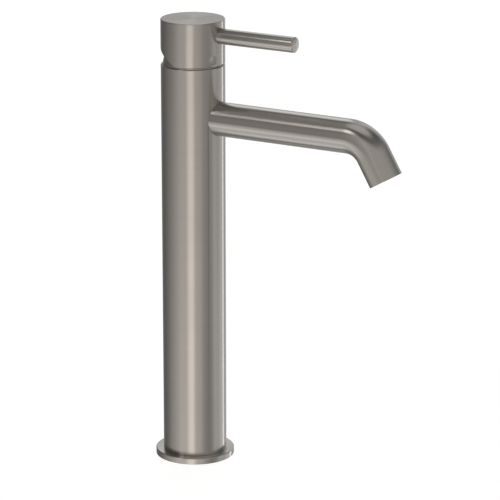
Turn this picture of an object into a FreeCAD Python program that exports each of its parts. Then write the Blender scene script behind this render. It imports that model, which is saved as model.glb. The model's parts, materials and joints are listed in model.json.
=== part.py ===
"""A tall single-lever basin mixer with a bent tube spout.

The origin is the centre of the foot on the deck, +Z is up, and the spout and the lever point
along +X. Sizes are in millimetres. SIZES holds what can be set by itself, FORMULAS what follows
from it, and both may be used by name in any formula below.
"""

import FreeCAD, Part
import math
import os
import re

import Sketcher

SIZES = {
    # heights of the column, base ring and cap
    "total_height": 318,
    "cap_height": 31,
    "seam_gap": 1,
    "flange_height": 4.5,
    # the walls round the cartridge, from its own diameter out to the column's surface
    "cartridge_diameter": 35,
    "cup_wall": 1.3,
    "dome_wall": 1.9,
    "body_wall": 1.3,
    "flange_overhang": 5.5,
    # clearances and edges
    "slip_fit": 0.1,
    "bearing_fit": 0.06,
    "loose_fit": 0.3,
    "cap_gap": 0.35,
    "edge_break": 0.4,
    "chamfer": 0.5,
    # deck seal and O-rings
    "seal_margin": 2,
    "seal_width": 4,
    "seal_depth": 2,
    "oring_section": 1.8,
    "oring_land": 1,
    "oring_inset": 3,
    # foot
    "foot_height": 28,
    "foot_shoulder": 3,
    "inlet_offset": 4.5,
    "inlet_pitch": 17,
    "inlet_bore": 9,
    "inlet_depth": 12,
    "stud_offset": 9.5,
    "stud_bore": 6.8,
    "stud_depth": 16,
    "water_bore": 4.6,
    # risers
    "riser_diameter": 8,
    "riser_wall": 1,
    "riser_seat": 9,
    "riser_seal_width": 1.6,
    "riser_seal_height": 2,
    # spout
    "spout_below_cup": 12.5,
    "spout_diameter": 24,
    "spout_wall": 1.6,
    "spout_insert": 1.5,
    "spout_straight": 122.4,
    "spout_bend_radius": 22,
    "spout_bend_angle": 60,
    "spout_end_length": 19.2,
    "nipple_diameter": 14,
    "nipple_length": 8.5,
    "nipple_head": 9,
    "nipple_bore": 8,
    # aerator
    "aerator_recess": 0.6,
    "aerator_length": 12,
    "aerator_ring_wall": 1.6,
    "aerator_seal_height": 1.5,
    "aerator_lip": 1.7,
    "core_recess": 0.5,
    "core_length": 8,
    "core_wall": 1,
    "core_ledge": 0.7,
    "honeycomb_floor": 2,
    "honeycomb_web": 0.55,
    "plate_gap": 2,
    "plate_thickness": 1.2,
    "plate_hole": 1.6,
    "plate_hole_circle": 9.5,
    "plate_hole_count": 12,
    # valve block
    "block_tail": 7,
    "cup_rise": 1.5,
    "dome_skirt": 10.5,
    "neck_clearance": 1.5,
    # cartridge, from its base up to its nut
    "pivot_below_rim": 0.5,
    "cartridge_depth": 24,
    "base_thickness": 4.3,
    "base_rim": 1,
    "port_pitch": 12.4,
    "port_bore": 4.6,
    "outlet_offset": 4,
    "outlet_bore": 5.6,
    "port_seal_width": 1.6,
    "port_seal_height": 1.5,
    "key_offset": 8,
    "key_pitch": 23,
    "key_diameter": 3,
    "key_length": 3,
    "housing_wall": 2.2,
    "disc_margin": 0.8,
    "disc_travel_room": 4.3,
    "fixed_disc_thickness": 3,
    "moving_disc_thickness": 3.2,
    "chamber_depth": 2,
    "chamber_wall": 1.7,
    "chamber_front": 1.4,
    "carrier_width": 14,
    "carrier_foot": 1.2,
    "carrier_lip": 1.5,
    "ball_drop": 9,
    "ball_diameter": 6,
    "stem_neck": 4,
    "stem_width": 8,
    "stem_above_lever": 3.5,
    "stem_below_pivot": 3.5,
    "stem_swing": 3.3,
    "pin_diameter": 3,
    "pin_recess": 1.5,
    "rotor_diameter": 20,
    "rotor_flange": 3,
    "rotor_rise": 4.8,
    "lug_length": 16,
    "lug_thickness": 3,
    "housing_plate": 2,
    "housing_neck": 2.2,
    "nut_hexagon": 3.5,
    # bonnet and cap
    "dome_rise": 14,
    "front_ceiling_gap": 1.5,
    "rear_ceiling_gap": 6,
    "ceiling_step": 1,
    "notch_start": 0.8,
    "notch_angle": 29.5,
    # lever and its fastening
    "lever_below_top": 10.5,
    "lever_diameter": 11,
    "lever_reach": 81,
    "lever_seat": 2.2,
    "lever_tip_chamfer": 0.5,
    "stud_diameter": 6,
    "stud_length": 20,
    "stud_in_cap": 8.5,
    "stud_end_gap": 1,
    "grub_length": 6,
    "grub_socket": 3,
    "grub_socket_depth": 3,
    # index button
    "button_diameter": 6,
    "button_above_seam": 5,
    "button_angle": 22,
}

FORMULAS = {
    # how far a cut or a joined pad runs past the face that it has to reach
    "overrun": "2 * chamfer",
    # radii from the cartridge outwards
    "cartridge_radius": "cartridge_diameter / 2",
    "cup_radius": "cartridge_radius + 2 * slip_fit",
    "block_neck_radius": "cup_radius + cup_wall",
    "dome_thread_radius": "block_neck_radius + slip_fit",
    "dome_radius": "dome_thread_radius + dome_wall",
    "body_bore": "dome_radius + 2 * slip_fit",
    "body_radius": "body_bore + body_wall",
    "cap_cavity": "dome_radius + cap_gap",
    "flange_radius": "body_radius + flange_overhang",
    # levels from the deck upwards
    "cap_bottom": "total_height - cap_height",
    "body_top": "cap_bottom - seam_gap",
    "pivot": "body_top - pivot_below_rim",
    "cup_floor": "pivot - cartridge_depth",
    "cup_top": "pivot + cup_rise",
    "spout_height": "cup_floor - spout_below_cup",
    "spout_radius": "spout_diameter / 2",
    "block_bottom": "spout_height - spout_radius - block_tail",
    "lever_height": "total_height - lever_below_top",
    # foot
    "plug_radius": "body_bore - slip_fit",
    "flange_bore": "body_bore - foot_shoulder",
    "foot_neck_radius": "flange_bore - slip_fit",
    "foot_top": "flange_height + foot_height",
    "inlet_y": "inlet_pitch / 2",
    "seal_outer": "flange_radius - seal_margin",
    "seal_inner": "seal_outer - seal_width",
    "ring_radius": "oring_section / 2",
    "ring_path": "body_bore - ring_radius",
    "groove_floor": "body_bore - oring_section",
    "foot_ring_height": "foot_top - oring_inset",
    # risers
    "riser_radius": "riser_diameter / 2",
    "riser_seal_radius": "riser_radius + riser_seal_width",
    "block_ring_height": "block_bottom + oring_inset",
    # spout
    "spout_bore": "spout_radius - spout_wall",
    "spout_seat": "body_bore - spout_insert",
    "bend_end_x": "spout_straight + spout_bend_radius * sin(spout_bend_angle)",
    "bend_end_z": "spout_height - spout_bend_radius * (1 - cos(spout_bend_angle))",
    "outlet_x": "bend_end_x + spout_end_length * cos(spout_bend_angle)",
    "outlet_z": "bend_end_z - spout_end_length * sin(spout_bend_angle)",
    "nipple_radius": "nipple_diameter / 2",
    "nipple_tip": "spout_seat - nipple_length",
    "nipple_ring": "(spout_seat + nipple_tip) / 2",
    # aerator, along its own axis from the spout's end face inwards
    "aerator_radius": "spout_bore - slip_fit / 2",
    "aerator_bore": "aerator_radius - aerator_ring_wall",
    "aerator_top": "aerator_recess + aerator_length",
    "core_radius": "aerator_bore - slip_fit",
    "core_bore": "core_radius - core_wall",
    "core_ledge_radius": "core_bore - core_ledge",
    "core_bottom": "aerator_recess + core_recess",
    "core_floor": "core_bottom + honeycomb_floor",
    "core_top": "core_bottom + core_length",
    "plate_seat": "core_floor + plate_gap",
    "aerator_shoulder": "core_top + aerator_seal_height",
    # two and a half cells side by side reach from the middle to the ledge
    "honeycomb_pitch": "core_ledge_radius / 2.5",
    "honeycomb_cell": "honeycomb_pitch - honeycomb_web",
    # valve block and cartridge
    "block_neck_bottom": "pivot - dome_skirt - neck_clearance",
    "base_top": "cup_floor + base_thickness",
    "base_rim_top": "base_top + base_rim",
    "port_y": "port_pitch / 2",
    "port_radius": "port_bore / 2",
    "port_seal_radius": "water_bore / 2 + port_seal_width + slip_fit",
    "outlet_radius": "outlet_bore / 2",
    "outlet_seal_radius": "outlet_radius + port_seal_width + slip_fit",
    "key_y": "key_pitch / 2",
    "housing_bore": "cartridge_radius - housing_wall",
    "fixed_disc_radius": "housing_bore - disc_margin",
    "fixed_disc_top": "base_top + fixed_disc_thickness",
    "moving_disc_radius": "housing_bore - disc_travel_room",
    "moving_disc_top": "fixed_disc_top + moving_disc_thickness",
    "chamber_radius": "moving_disc_radius - chamber_wall",
    "ball_height": "pivot - ball_drop",
    "ball_radius": "ball_diameter / 2",
    "carrier_top": "ball_height + carrier_lip",
    "carrier_pocket": "ball_radius + loose_fit",
    "rotor_bottom": "carrier_top + loose_fit",
    "rotor_flange_top": "rotor_bottom + rotor_flange",
    "rotor_flange_radius": "housing_bore - loose_fit",
    "rotor_radius": "rotor_diameter / 2",
    "rotor_top": "pivot + rotor_rise",
    "lug_inner": "carrier_width / 2 + loose_fit",
    "lug_bottom": "moving_disc_top + carrier_foot + loose_fit",
    "stem_half": "stem_width / 2",
    "stem_top": "lever_height + stem_above_lever",
    "slot_half": "stem_half + stem_swing",
    "pin_half": "rotor_radius - pin_recess",
    "housing_ceiling": "rotor_flange_top + slip_fit",
    "housing_shoulder": "housing_ceiling + housing_plate",
    "housing_neck_bore": "rotor_radius + bearing_fit",
    "housing_neck_radius": "housing_neck_bore + housing_neck",
    "housing_top": "rotor_top - loose_fit",
    "nut_radius": "cup_radius - slip_fit / 2",
    "nut_bore": "housing_neck_radius + 2 * slip_fit",
    "nut_flats": "2 * nut_radius * cos(30)",
    # bonnet
    "dome_top": "pivot + dome_rise",
    "dome_bottom": "pivot - dome_skirt",
    "dome_edge": "sqrt(dome_radius ^ 2 - dome_rise ^ 2)",
    "dome_mouth": "dome_edge - dome_wall",
    "dome_bore_top": "cup_top + nut_hexagon + loose_fit",
    # handle
    "front_ceiling": "dome_top + front_ceiling_gap",
    "rear_ceiling": "dome_top + rear_ceiling_gap",
    "socket_half": "stem_half + slip_fit / 2",
    "socket_top": "stem_top + loose_fit",
    "notch_back": "body_radius + overrun",
    "notch_top": "cap_bottom + (notch_back - notch_start) * tan(notch_angle)",
    "lever_radius": "lever_diameter / 2",
    "lever_root": "body_radius - lever_seat",
    "stud_radius": "stud_diameter / 2",
    "lever_thread": "stud_radius + slip_fit / 2",
    "stud_start": "lever_root - stud_in_cap",
    "stud_end": "stud_start + stud_length",
    "grub_tip": "stem_half + slip_fit / 4",
    "grub_head": "grub_tip + grub_length",
    "button_radius": "button_diameter / 2",
    "button_height": "cap_bottom + button_above_seam",
    "button_back": "cap_cavity + slip_fit / 2",
    "button_face": "sqrt(body_radius ^ 2 - button_radius ^ 2)",
}

WORD = re.compile(r"[a-z_][a-z0-9_]*")
AXIS_PLANE = {"Z": "XZ_Plane", "X": "XZ_Plane", "Y": "YZ_Plane"}

doc = FreeCAD.newDocument("basin_mixer")
sheet = doc.addObject("Spreadsheet::Sheet", "sizes")
pieces = {}


# ---------------------------------------------------------------- sizes and formulas


def fill_sheet():
    """One row for each driving size: its name, its value and the value's alias."""
    for row, (name, size) in enumerate(SIZES.items(), start=1):
        sheet.set("A%d" % row, name)
        sheet.set("B%d" % row, str(size))
        sheet.setAlias("B%d" % row, name)
    doc.recompute()


def formula(text):
    """The text with each name replaced by its cell or by its own formula."""

    def replace(match):
        word = match.group(0)
        if word in SIZES:
            return "sizes." + word
        if word in FORMULAS:
            return "(" + formula(FORMULAS[word]) + ")"
        return word

    return WORD.sub(replace, str(text))


def value(text):
    """The formula's present value, for first positions and directions."""
    return float(sheet.evalExpression(formula(text)))


# ---------------------------------------------------------------- sketches


def new_body(name):
    body = doc.addObject("PartDesign::Body", name)
    body.Label = name
    pieces[name] = body
    return body


def new_sketch(body, plane, name, offset="0"):
    """A sketch on one of the body's own origin planes, moved along the plane's normal."""
    sketch = body.newObject("Sketcher::SketchObject", body.Name + "_" + name)
    support = [f for f in body.Origin.OriginFeatures if f.Role == plane][0]
    sketch.AttachmentSupport = (support, [""])
    sketch.MapMode = "FlatFace"
    if offset != "0":
        sketch.AttachmentOffset = FreeCAD.Placement(
            FreeCAD.Vector(0, 0, value(offset)), FreeCAD.Rotation()
        )
        sketch.setExpression("AttachmentOffset.Base.z", formula(offset))
    return sketch


def bind(sketch, kind, geometry, point, text):
    """Ties one coordinate or radius of a sketch to its formula."""
    if kind == "Radius":
        index = sketch.addConstraint(Sketcher.Constraint(kind, geometry, value(text)))
        sketch.setExpression("Constraints[%d]" % index, formula(text))
        return
    if text == "0":
        axis = -2 if kind == "DistanceX" else -1
        sketch.addConstraint(Sketcher.Constraint("PointOnObject", geometry, point, axis))
        return
    index = sketch.addConstraint(
        Sketcher.Constraint(kind, -1, 1, geometry, point, value(text))
    )
    sketch.setExpression("Constraints[%d]" % index, formula(text))


def add_arc(sketch, start, end, radius, turn):
    """An arc from start to end whose centre lies to the left or right of the way along it."""
    middle = (start + end) / 2
    half = (end - start).Length / 2
    along = (end - start).normalize()
    left = FreeCAD.Vector(-along.y, along.x, 0)
    side = 1 if turn == "left" else -1
    centre = middle + left * side * math.sqrt(max(radius**2 - half**2, 0))
    first, last = (start, end) if turn == "left" else (end, start)
    angles = [math.atan2(spot.y - centre.y, spot.x - centre.x) for spot in (first, last)]
    circle = Part.Circle(centre, FreeCAD.Vector(0, 0, 1), radius)
    index = sketch.addGeometry(Part.ArcOfCircle(circle, angles[0], angles[1]))
    ends = ((index, 1), (index, 2)) if turn == "left" else ((index, 2), (index, 1))
    return ends


def draw_path(sketch, points, closed=True):
    """Lines through the points; a point may add the radius and turn of the arc to the next."""
    spots = [FreeCAD.Vector(value(point[0]), value(point[1]), 0) for point in points]
    count = len(points) if closed else len(points) - 1
    edges = []
    for number in range(count):
        start = spots[number]
        end = spots[(number + 1) % len(spots)]
        if len(points[number]) == 4:
            radius = value(points[number][2])
            edges.append(add_arc(sketch, start, end, radius, points[number][3]))
        else:
            index = sketch.addGeometry(Part.LineSegment(start, end))
            edges.append(((index, 1), (index, 2)))
    for number in range(count if closed else count - 1):
        joint = edges[number][1] + edges[(number + 1) % count][0]
        sketch.addConstraint(Sketcher.Constraint("Coincident", *joint))
    for number, (start, end) in enumerate(edges):
        bind(sketch, "DistanceX", start[0], start[1], points[number][0])
        bind(sketch, "DistanceY", start[0], start[1], points[number][1])
        if len(points[number]) == 4:
            bind(sketch, "Radius", start[0], None, points[number][2])
    if not closed:
        end = edges[-1][1]
        bind(sketch, "DistanceX", end[0], end[1], points[-1][0])
        bind(sketch, "DistanceY", end[0], end[1], points[-1][1])


def draw_circle(sketch, x, y, radius):
    centre = FreeCAD.Vector(value(x), value(y), 0)
    circle = Part.Circle(centre, FreeCAD.Vector(0, 0, 1), value(radius))
    index = sketch.addGeometry(circle)
    bind(sketch, "DistanceX", index, 3, x)
    bind(sketch, "DistanceY", index, 3, y)
    bind(sketch, "Radius", index, None, radius)


def rectangle(x_low, x_high, y_low, y_high):
    return [(x_low, y_low), (x_high, y_low), (x_high, y_high), (x_low, y_high)]


def draw(sketch, shapes):
    """Each shape is a circle as (x, y, radius) or a closed path as a list of points."""
    for shape in shapes:
        if isinstance(shape, tuple):
            draw_circle(sketch, *shape)
        else:
            draw_path(sketch, shape)


# ---------------------------------------------------------------- features


def turned(name, *outlines, axis="Z"):
    """A turned body. Outlines are (radius, height) about Z, or (length, radius) about X or Y."""
    body = new_body(name)
    sketch = new_sketch(body, AXIS_PLANE[axis], "profile")
    draw(sketch, outlines)
    revolution = body.newObject("PartDesign::Revolution", name + "_turning")
    revolution.Profile = sketch
    revolution.ReferenceAxis = (sketch, ["V_Axis" if axis == "Z" else "H_Axis"])
    revolution.Angle = 360
    sketch.Visibility = False
    return body


def extrude(body, kind, name, plane, shapes, offset, length, reverse=False, both=False):
    """A pad or pocket from a sketch on a plane at an offset, as long as its formula says."""
    sketch = new_sketch(body, plane, name + "_sketch", offset)
    draw(sketch, shapes)
    feature = body.newObject("PartDesign::" + kind, body.Name + "_" + name)
    feature.Profile = sketch
    feature.setExpression("Length", formula(length))
    feature.Reversed = reverse
    if both:
        feature.Midplane = True
    sketch.Visibility = False
    return feature


def pad(body, name, plane, shapes, offset, length, both=False):
    """Material from the sketch along its plane's normal."""
    return extrude(body, "Pad", name, plane, shapes, offset, length, both=both)


def pocket(body, name, plane, shapes, offset, length, both=False):
    """A cut from the sketch along its plane's normal."""
    return extrude(body, "Pocket", name, plane, shapes, offset, length, True, both)


def raise_to(body, height):
    """Lifts a piece that is drawn about the X or Y axis to its height."""
    body.setExpression("Placement.Base.z", formula(height))


def mirrored_pair(x, y, radius):
    return [(x, y, radius), (x, "-(" + y + ")", radius)]


# ---------------------------------------------------------------- column and foot


def make_body_tube():
    """The column: a drawn tube with a round hole for the spout in its front wall."""
    body = turned(
        "body_tube",
        [
            ("body_bore", "flange_height"),
            ("body_radius - edge_break / 2", "flange_height"),
            ("body_radius", "flange_height + edge_break / 2"),
            ("body_radius", "body_top - edge_break"),
            ("body_radius - edge_break", "body_top"),
            ("body_bore", "body_top"),
        ],
    )
    hole = ("0", "spout_height", "spout_radius + slip_fit / 2")
    pocket(body, "spout_hole", "YZ_Plane", [hole], "0", "body_radius + overrun")


def make_base_flange():
    """The ring under the column, with the deck seal's groove in its underside."""
    turned(
        "base_flange",
        [
            ("flange_bore", "0"),
            ("seal_inner", "0"),
            ("seal_inner", "seal_depth"),
            ("seal_outer", "seal_depth"),
            ("seal_outer", "0"),
            ("flange_radius", "0"),
            ("flange_radius", "flange_height - edge_break"),
            ("flange_radius - edge_break", "flange_height"),
            ("flange_bore", "flange_height"),
        ],
    )


def make_deck_seal():
    outline = rectangle("seal_inner + slip_fit", "seal_outer - slip_fit", "0", "seal_depth")
    turned("deck_seal", outline)


def ring_groove(radius, height):
    """The corners of an O-ring's groove in an outer wall, upwards."""
    half = "ring_radius + slip_fit"
    return [
        (radius, height + " - (" + half + ")"),
        ("groove_floor", height + " - (" + half + ")"),
        ("groove_floor", height + " + " + half),
        (radius, height + " + " + half),
    ]


def squeezed_ring(across, along):
    """An O-ring's section in its groove: two lands pressed flat and sides that bulge."""
    land = "oring_land / 2"
    inner = across + " - ring_radius"
    outer = across + " + ring_radius"
    return [
        (inner, along + " - " + land),
        (across, along + " - ring_radius"),
        (outer, along + " - " + land),
        (outer, along + " + " + land),
        (across, along + " + ring_radius"),
        (inner, along + " + " + land),
    ]


def make_foot_block():
    """The brass foot: a neck through the base ring and a plug in the column's bore."""
    body = turned(
        "foot_block",
        [
            ("0", "0"),
            ("foot_neck_radius", "0"),
            ("foot_neck_radius", "flange_height"),
            ("plug_radius", "flange_height"),
            *ring_groove("plug_radius", "foot_ring_height"),
            ("plug_radius", "foot_top - chamfer"),
            ("plug_radius - chamfer", "foot_top"),
            ("0", "foot_top"),
        ],
    )
    inlets = mirrored_pair("inlet_offset", "inlet_y", "inlet_bore / 2")
    pocket(body, "inlets", "XY_Plane", inlets, "0", "inlet_depth")
    stud = ("-stud_offset", "0", "stud_bore / 2")
    pocket(body, "stud_hole", "XY_Plane", [stud], "0", "stud_depth")
    ways = mirrored_pair("inlet_offset", "inlet_y", "water_bore / 2")
    pocket(body, "waterways", "XY_Plane", ways, "0", "foot_top")
    sockets = mirrored_pair("inlet_offset", "inlet_y", "riser_radius + slip_fit / 2")
    pocket(body, "sockets", "XY_Plane", sockets, "foot_top - riser_seat", "riser_seat")
    seats = mirrored_pair("inlet_offset", "inlet_y", "riser_seal_radius")
    pocket(
        body, "seal_seats", "XY_Plane", seats, "foot_top - riser_seal_height", "riser_seal_height"
    )


def make_body_orings():
    """The two O-rings that centre the foot and the valve block in the column."""
    turned(
        "body_orings",
        squeezed_ring("ring_path", "foot_ring_height"),
        squeezed_ring("ring_path", "block_ring_height"),
    )


def make_risers():
    """Two copper tubes that carry hot and cold water from the foot to the valve block."""
    bottom = "foot_top - riser_seat + slip_fit"
    length = "block_bottom - foot_top + 2 * riser_seat - 2 * slip_fit"
    for name, side in (("riser_hot", "-1"), ("riser_cold", "1")):
        body = new_body(name)
        y = side + " * inlet_y"
        walls = [
            ("inlet_offset", y, "riser_radius"),
            ("inlet_offset", y, "riser_radius - riser_wall"),
        ]
        pad(body, "tube", "XY_Plane", walls, bottom, length)


def make_riser_seals():
    """A rubber ring round each end of each riser."""
    body = new_body("riser_seals")
    rings = []
    for ring in (
        mirrored_pair("inlet_offset", "inlet_y", "riser_seal_radius - slip_fit / 2"),
        mirrored_pair("inlet_offset", "inlet_y", "riser_radius + slip_fit / 2"),
    ):
        rings += ring
    pad(body, "foot_rings", "XY_Plane", rings, "foot_top - riser_seal_height", "riser_seal_height")
    pad(body, "block_rings", "XY_Plane", rings, "block_bottom", "riser_seal_height")


# ---------------------------------------------------------------- valve block and spout


def make_valve_block():
    """The brass block in the column's head: a cup for the cartridge over its waterways."""
    body = turned(
        "valve_block",
        [
            ("0", "block_bottom"),
            ("plug_radius - chamfer", "block_bottom"),
            ("plug_radius", "block_bottom + chamfer"),
            *ring_groove("plug_radius", "block_ring_height"),
            ("plug_radius", "block_neck_bottom"),
            ("block_neck_radius", "block_neck_bottom"),
            ("block_neck_radius", "cup_top"),
            ("cup_radius", "cup_top"),
            ("cup_radius", "cup_floor"),
            ("0", "cup_floor"),
        ],
    )
    reach = "(spout_radius + slip_fit)"
    flat = rectangle("-" + reach, reach, "spout_height - " + reach, "spout_height + " + reach)
    pocket(body, "spout_face", "YZ_Plane", [flat], "spout_seat", "body_radius")
    socket = ("0", "spout_height", "nipple_radius + slip_fit / 2")
    pocket(body, "nipple_socket", "YZ_Plane", [socket], "nipple_tip - loose_fit", "body_radius")
    channel = ("0", "spout_height", "nipple_bore / 2")
    start = "-outlet_offset - outlet_radius - chamfer"
    pocket(body, "outlet_channel", "YZ_Plane", [channel], start, "body_radius")
    well = ("-outlet_offset", "0", "outlet_radius")
    pocket(body, "outlet_well", "XY_Plane", [well], "spout_height", "cartridge_depth")
    ways = mirrored_pair("inlet_offset", "inlet_y", "water_bore / 2")
    pocket(body, "waterways", "XY_Plane", ways, "block_bottom", "cup_floor - block_bottom")
    sockets = mirrored_pair("inlet_offset", "inlet_y", "riser_radius + slip_fit / 2")
    pocket(body, "sockets", "XY_Plane", sockets, "block_bottom", "riser_seat")
    seats = mirrored_pair("inlet_offset", "inlet_y", "riser_seal_radius")
    pocket(body, "seal_seats", "XY_Plane", seats, "block_bottom", "riser_seal_height")
    keys = mirrored_pair("-key_offset", "key_y", "key_diameter / 2 + slip_fit")
    pocket(body, "key_holes", "XY_Plane", keys, "cup_floor - key_length - loose_fit",
           "key_length + loose_fit")


def make_spout_nipple():
    """The hollow nipple: its head fills the spout's end, its spigot enters the block."""
    body = turned(
        "spout_nipple",
        [
            ("nipple_tip", "nipple_bore / 2"),
            ("nipple_tip", "nipple_radius - chamfer"),
            ("nipple_tip + chamfer", "nipple_radius"),
            ("nipple_ring - ring_radius - slip_fit", "nipple_radius"),
            ("nipple_ring - ring_radius - slip_fit", "nipple_radius - oring_section"),
            ("nipple_ring + ring_radius + slip_fit", "nipple_radius - oring_section"),
            ("nipple_ring + ring_radius + slip_fit", "nipple_radius"),
            ("spout_seat", "nipple_radius"),
            ("spout_seat", "spout_bore - slip_fit / 2"),
            ("spout_seat + nipple_head", "spout_bore - slip_fit / 2"),
            ("spout_seat + nipple_head", "nipple_bore / 2"),
        ],
        axis="X",
    )
    raise_to(body, "spout_height")


def make_spout_oring():
    section = [(x, y) for y, x in squeezed_ring("nipple_radius - ring_radius", "nipple_ring")]
    body = turned("spout_oring", section, axis="X")
    raise_to(body, "spout_height")


def make_spout_tube():
    """The spout: a tube swept along a straight, a 60 degree bend and a short straight end."""
    body = new_body("spout_tube")
    path = new_sketch(body, "XZ_Plane", "path")
    draw_path(
        path,
        [
            ("spout_seat", "spout_height"),
            ("spout_straight", "spout_height", "spout_bend_radius", "right"),
            ("bend_end_x", "bend_end_z"),
            ("outlet_x", "outlet_z"),
        ],
        closed=False,
    )
    section = new_sketch(body, "YZ_Plane", "section", "spout_seat")
    draw(section, [("0", "spout_height", "spout_radius"), ("0", "spout_height", "spout_bore")])
    sweep = body.newObject("PartDesign::AdditivePipe", "spout_tube_sweep")
    sweep.Profile = section
    sweep.Spine = (path, [""])
    for sketch in (path, section):
        sketch.Visibility = False


# ---------------------------------------------------------------- aerator


def at_outlet(body):
    """Puts a piece that is drawn upwards from z = 0 on the spout's end face."""
    tilt = FreeCAD.Rotation(FreeCAD.Vector(0, -1, 0), 90 - value("spout_bend_angle"))
    body.Placement = FreeCAD.Placement(FreeCAD.Vector(0, 0, 0), tilt)
    body.setExpression("Placement.Base.x", formula("outlet_x"))
    body.setExpression("Placement.Base.z", formula("outlet_z"))
    body.setExpression("Placement.Rotation.Angle", formula("90 - spout_bend_angle"))


def make_aerator_housing():
    """The ring in the spout's mouth, with the shoulder that the seal presses on."""
    body = turned(
        "aerator_housing",
        [
            ("aerator_bore", "aerator_recess"),
            ("aerator_radius - edge_break", "aerator_recess"),
            ("aerator_radius", "aerator_recess + edge_break"),
            ("aerator_radius", "aerator_top"),
            ("aerator_bore - aerator_lip", "aerator_top"),
            ("aerator_bore - aerator_lip", "aerator_shoulder"),
            ("aerator_bore", "aerator_shoulder"),
        ],
    )
    at_outlet(body)


def make_aerator_seal():
    inner = "aerator_bore - aerator_lip"
    body = turned("aerator_seal", rectangle(inner, "core_radius", "core_top", "aerator_shoulder"))
    at_outlet(body)


def hexagon(x, y, flats):
    """A hexagon's six corners, with two of them on the line through its centre along Y."""
    corner = "(" + flats + ") / 2 / cos(30)"
    return [
        ("%s + (%s) * cos(%d)" % (x, corner, angle), "%s + (%s) * sin(%d)" % (y, corner, angle))
        for angle in range(30, 390, 60)
    ]


def make_aerator_insert():
    """The moulded outlet: a cup whose floor is a honeycomb of nineteen cells."""
    body = turned(
        "aerator_insert",
        [
            ("0", "core_bottom"),
            ("core_radius - chamfer", "core_bottom"),
            ("core_radius", "core_bottom + chamfer"),
            ("core_radius", "core_top"),
            ("core_bore", "core_top"),
            ("core_bore", "plate_seat"),
            ("core_ledge_radius", "plate_seat"),
            ("core_ledge_radius", "core_floor"),
            ("0", "core_floor"),
        ],
    )
    cells = []
    for row in range(-2, 3):
        for column in range(-2, 3):
            if abs(row + column) > 2:
                continue
            x = "honeycomb_pitch * %s" % (column + row / 2)
            y = "honeycomb_pitch * %s * cos(30)" % row
            cells.append(hexagon(x, y, "honeycomb_cell"))
    pocket(body, "cells", "XY_Plane", cells, "core_bottom - overrun",
           "honeycomb_floor + 2 * overrun")
    at_outlet(body)


def make_flow_plate():
    """A perforated plate that breaks the stream up above the honeycomb."""
    body = turned(
        "flow_plate",
        rectangle("0", "core_bore - slip_fit", "plate_seat", "plate_seat + plate_thickness"),
    )
    hole = ("plate_hole_circle / 2", "0", "plate_hole / 2")
    first = pocket(body, "hole", "XY_Plane", [hole], "plate_seat - overrun",
                   "plate_thickness + 2 * overrun")
    pattern = body.newObject("PartDesign::PolarPattern", "flow_plate_holes")
    pattern.Originals = [first]
    pattern.Axis = ([f for f in body.Origin.OriginFeatures if f.Role == "Z_Axis"][0], [""])
    pattern.Angle = 360
    pattern.setExpression("Occurrences", formula("plate_hole_count"))
    body.Tip = pattern
    at_outlet(body)


# ---------------------------------------------------------------- cartridge


def make_cartridge_base():
    """The moulded base: three ports, their seal seats and two keys into the block's floor."""
    body = turned(
        "cartridge_base",
        [
            ("0", "cup_floor"),
            ("cartridge_radius - chamfer", "cup_floor"),
            ("cartridge_radius", "cup_floor + chamfer"),
            ("cartridge_radius", "base_rim_top"),
            ("fixed_disc_radius + slip_fit", "base_rim_top"),
            ("fixed_disc_radius + slip_fit", "base_top"),
            ("0", "base_top"),
        ],
    )
    lower = mirrored_pair("inlet_offset", "inlet_y", "water_bore / 2")
    lower.append(("-outlet_offset", "0", "outlet_radius"))
    pocket(body, "lower_ports", "XY_Plane", lower, "cup_floor", "base_thickness")
    middle = "cup_floor + base_thickness / 2"
    upper = mirrored_pair("inlet_offset", "port_y", "port_radius")
    pocket(body, "upper_ports", "XY_Plane", upper, middle, "base_thickness")
    left = "inlet_offset - port_radius"
    right = "inlet_offset + port_radius"
    links = [
        rectangle(left, right, "port_y", "inlet_y"),
        rectangle(left, right, "-inlet_y", "-port_y"),
    ]
    pocket(body, "port_links", "XY_Plane", links, middle, "base_thickness")
    seats = mirrored_pair("inlet_offset", "inlet_y", "port_seal_radius")
    seats.append(("-outlet_offset", "0", "outlet_seal_radius"))
    pocket(body, "seal_seats", "XY_Plane", seats, "cup_floor", "port_seal_height")
    keys = mirrored_pair("-key_offset", "key_y", "key_diameter / 2")
    pad(body, "keys", "XY_Plane", keys, "cup_floor - key_length", "key_length + overrun")


def make_cartridge_seals():
    """The three rubber rings under the cartridge's ports."""
    body = new_body("cartridge_seals")
    rings = mirrored_pair("inlet_offset", "inlet_y", "port_seal_radius - slip_fit")
    rings += mirrored_pair("inlet_offset", "inlet_y", "water_bore / 2 + slip_fit")
    rings.append(("-outlet_offset", "0", "outlet_seal_radius - slip_fit"))
    rings.append(("-outlet_offset", "0", "outlet_radius + slip_fit"))
    pad(body, "rings", "XY_Plane", rings, "cup_floor", "port_seal_height")


def make_fixed_disc():
    """The fixed ceramic disc: two inlet ports in front and the outlet port behind."""
    body = turned("fixed_disc", rectangle("0", "fixed_disc_radius", "base_top", "fixed_disc_top"))
    ports = mirrored_pair("inlet_offset", "port_y", "port_radius")
    ports.append(("-outlet_offset", "0", "outlet_radius"))
    pocket(body, "ports", "XY_Plane", ports, "base_top - overrun",
           "fixed_disc_thickness + 2 * overrun")


def make_moving_disc():
    """The sliding ceramic disc, with the mixing chamber in its underside."""
    body = turned(
        "moving_disc", rectangle("0", "moving_disc_radius", "fixed_disc_top", "moving_disc_top")
    )
    edge = "sqrt(chamber_radius ^ 2 - chamber_front ^ 2)"
    chamber = [
        ("chamber_front", edge, "chamber_radius", "left"),
        ("-chamber_radius", "0", "chamber_radius", "left"),
        ("chamber_front", "-" + edge),
    ]
    pocket(body, "chamber", "XY_Plane", [chamber], "fixed_disc_top", "chamber_depth")


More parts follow.
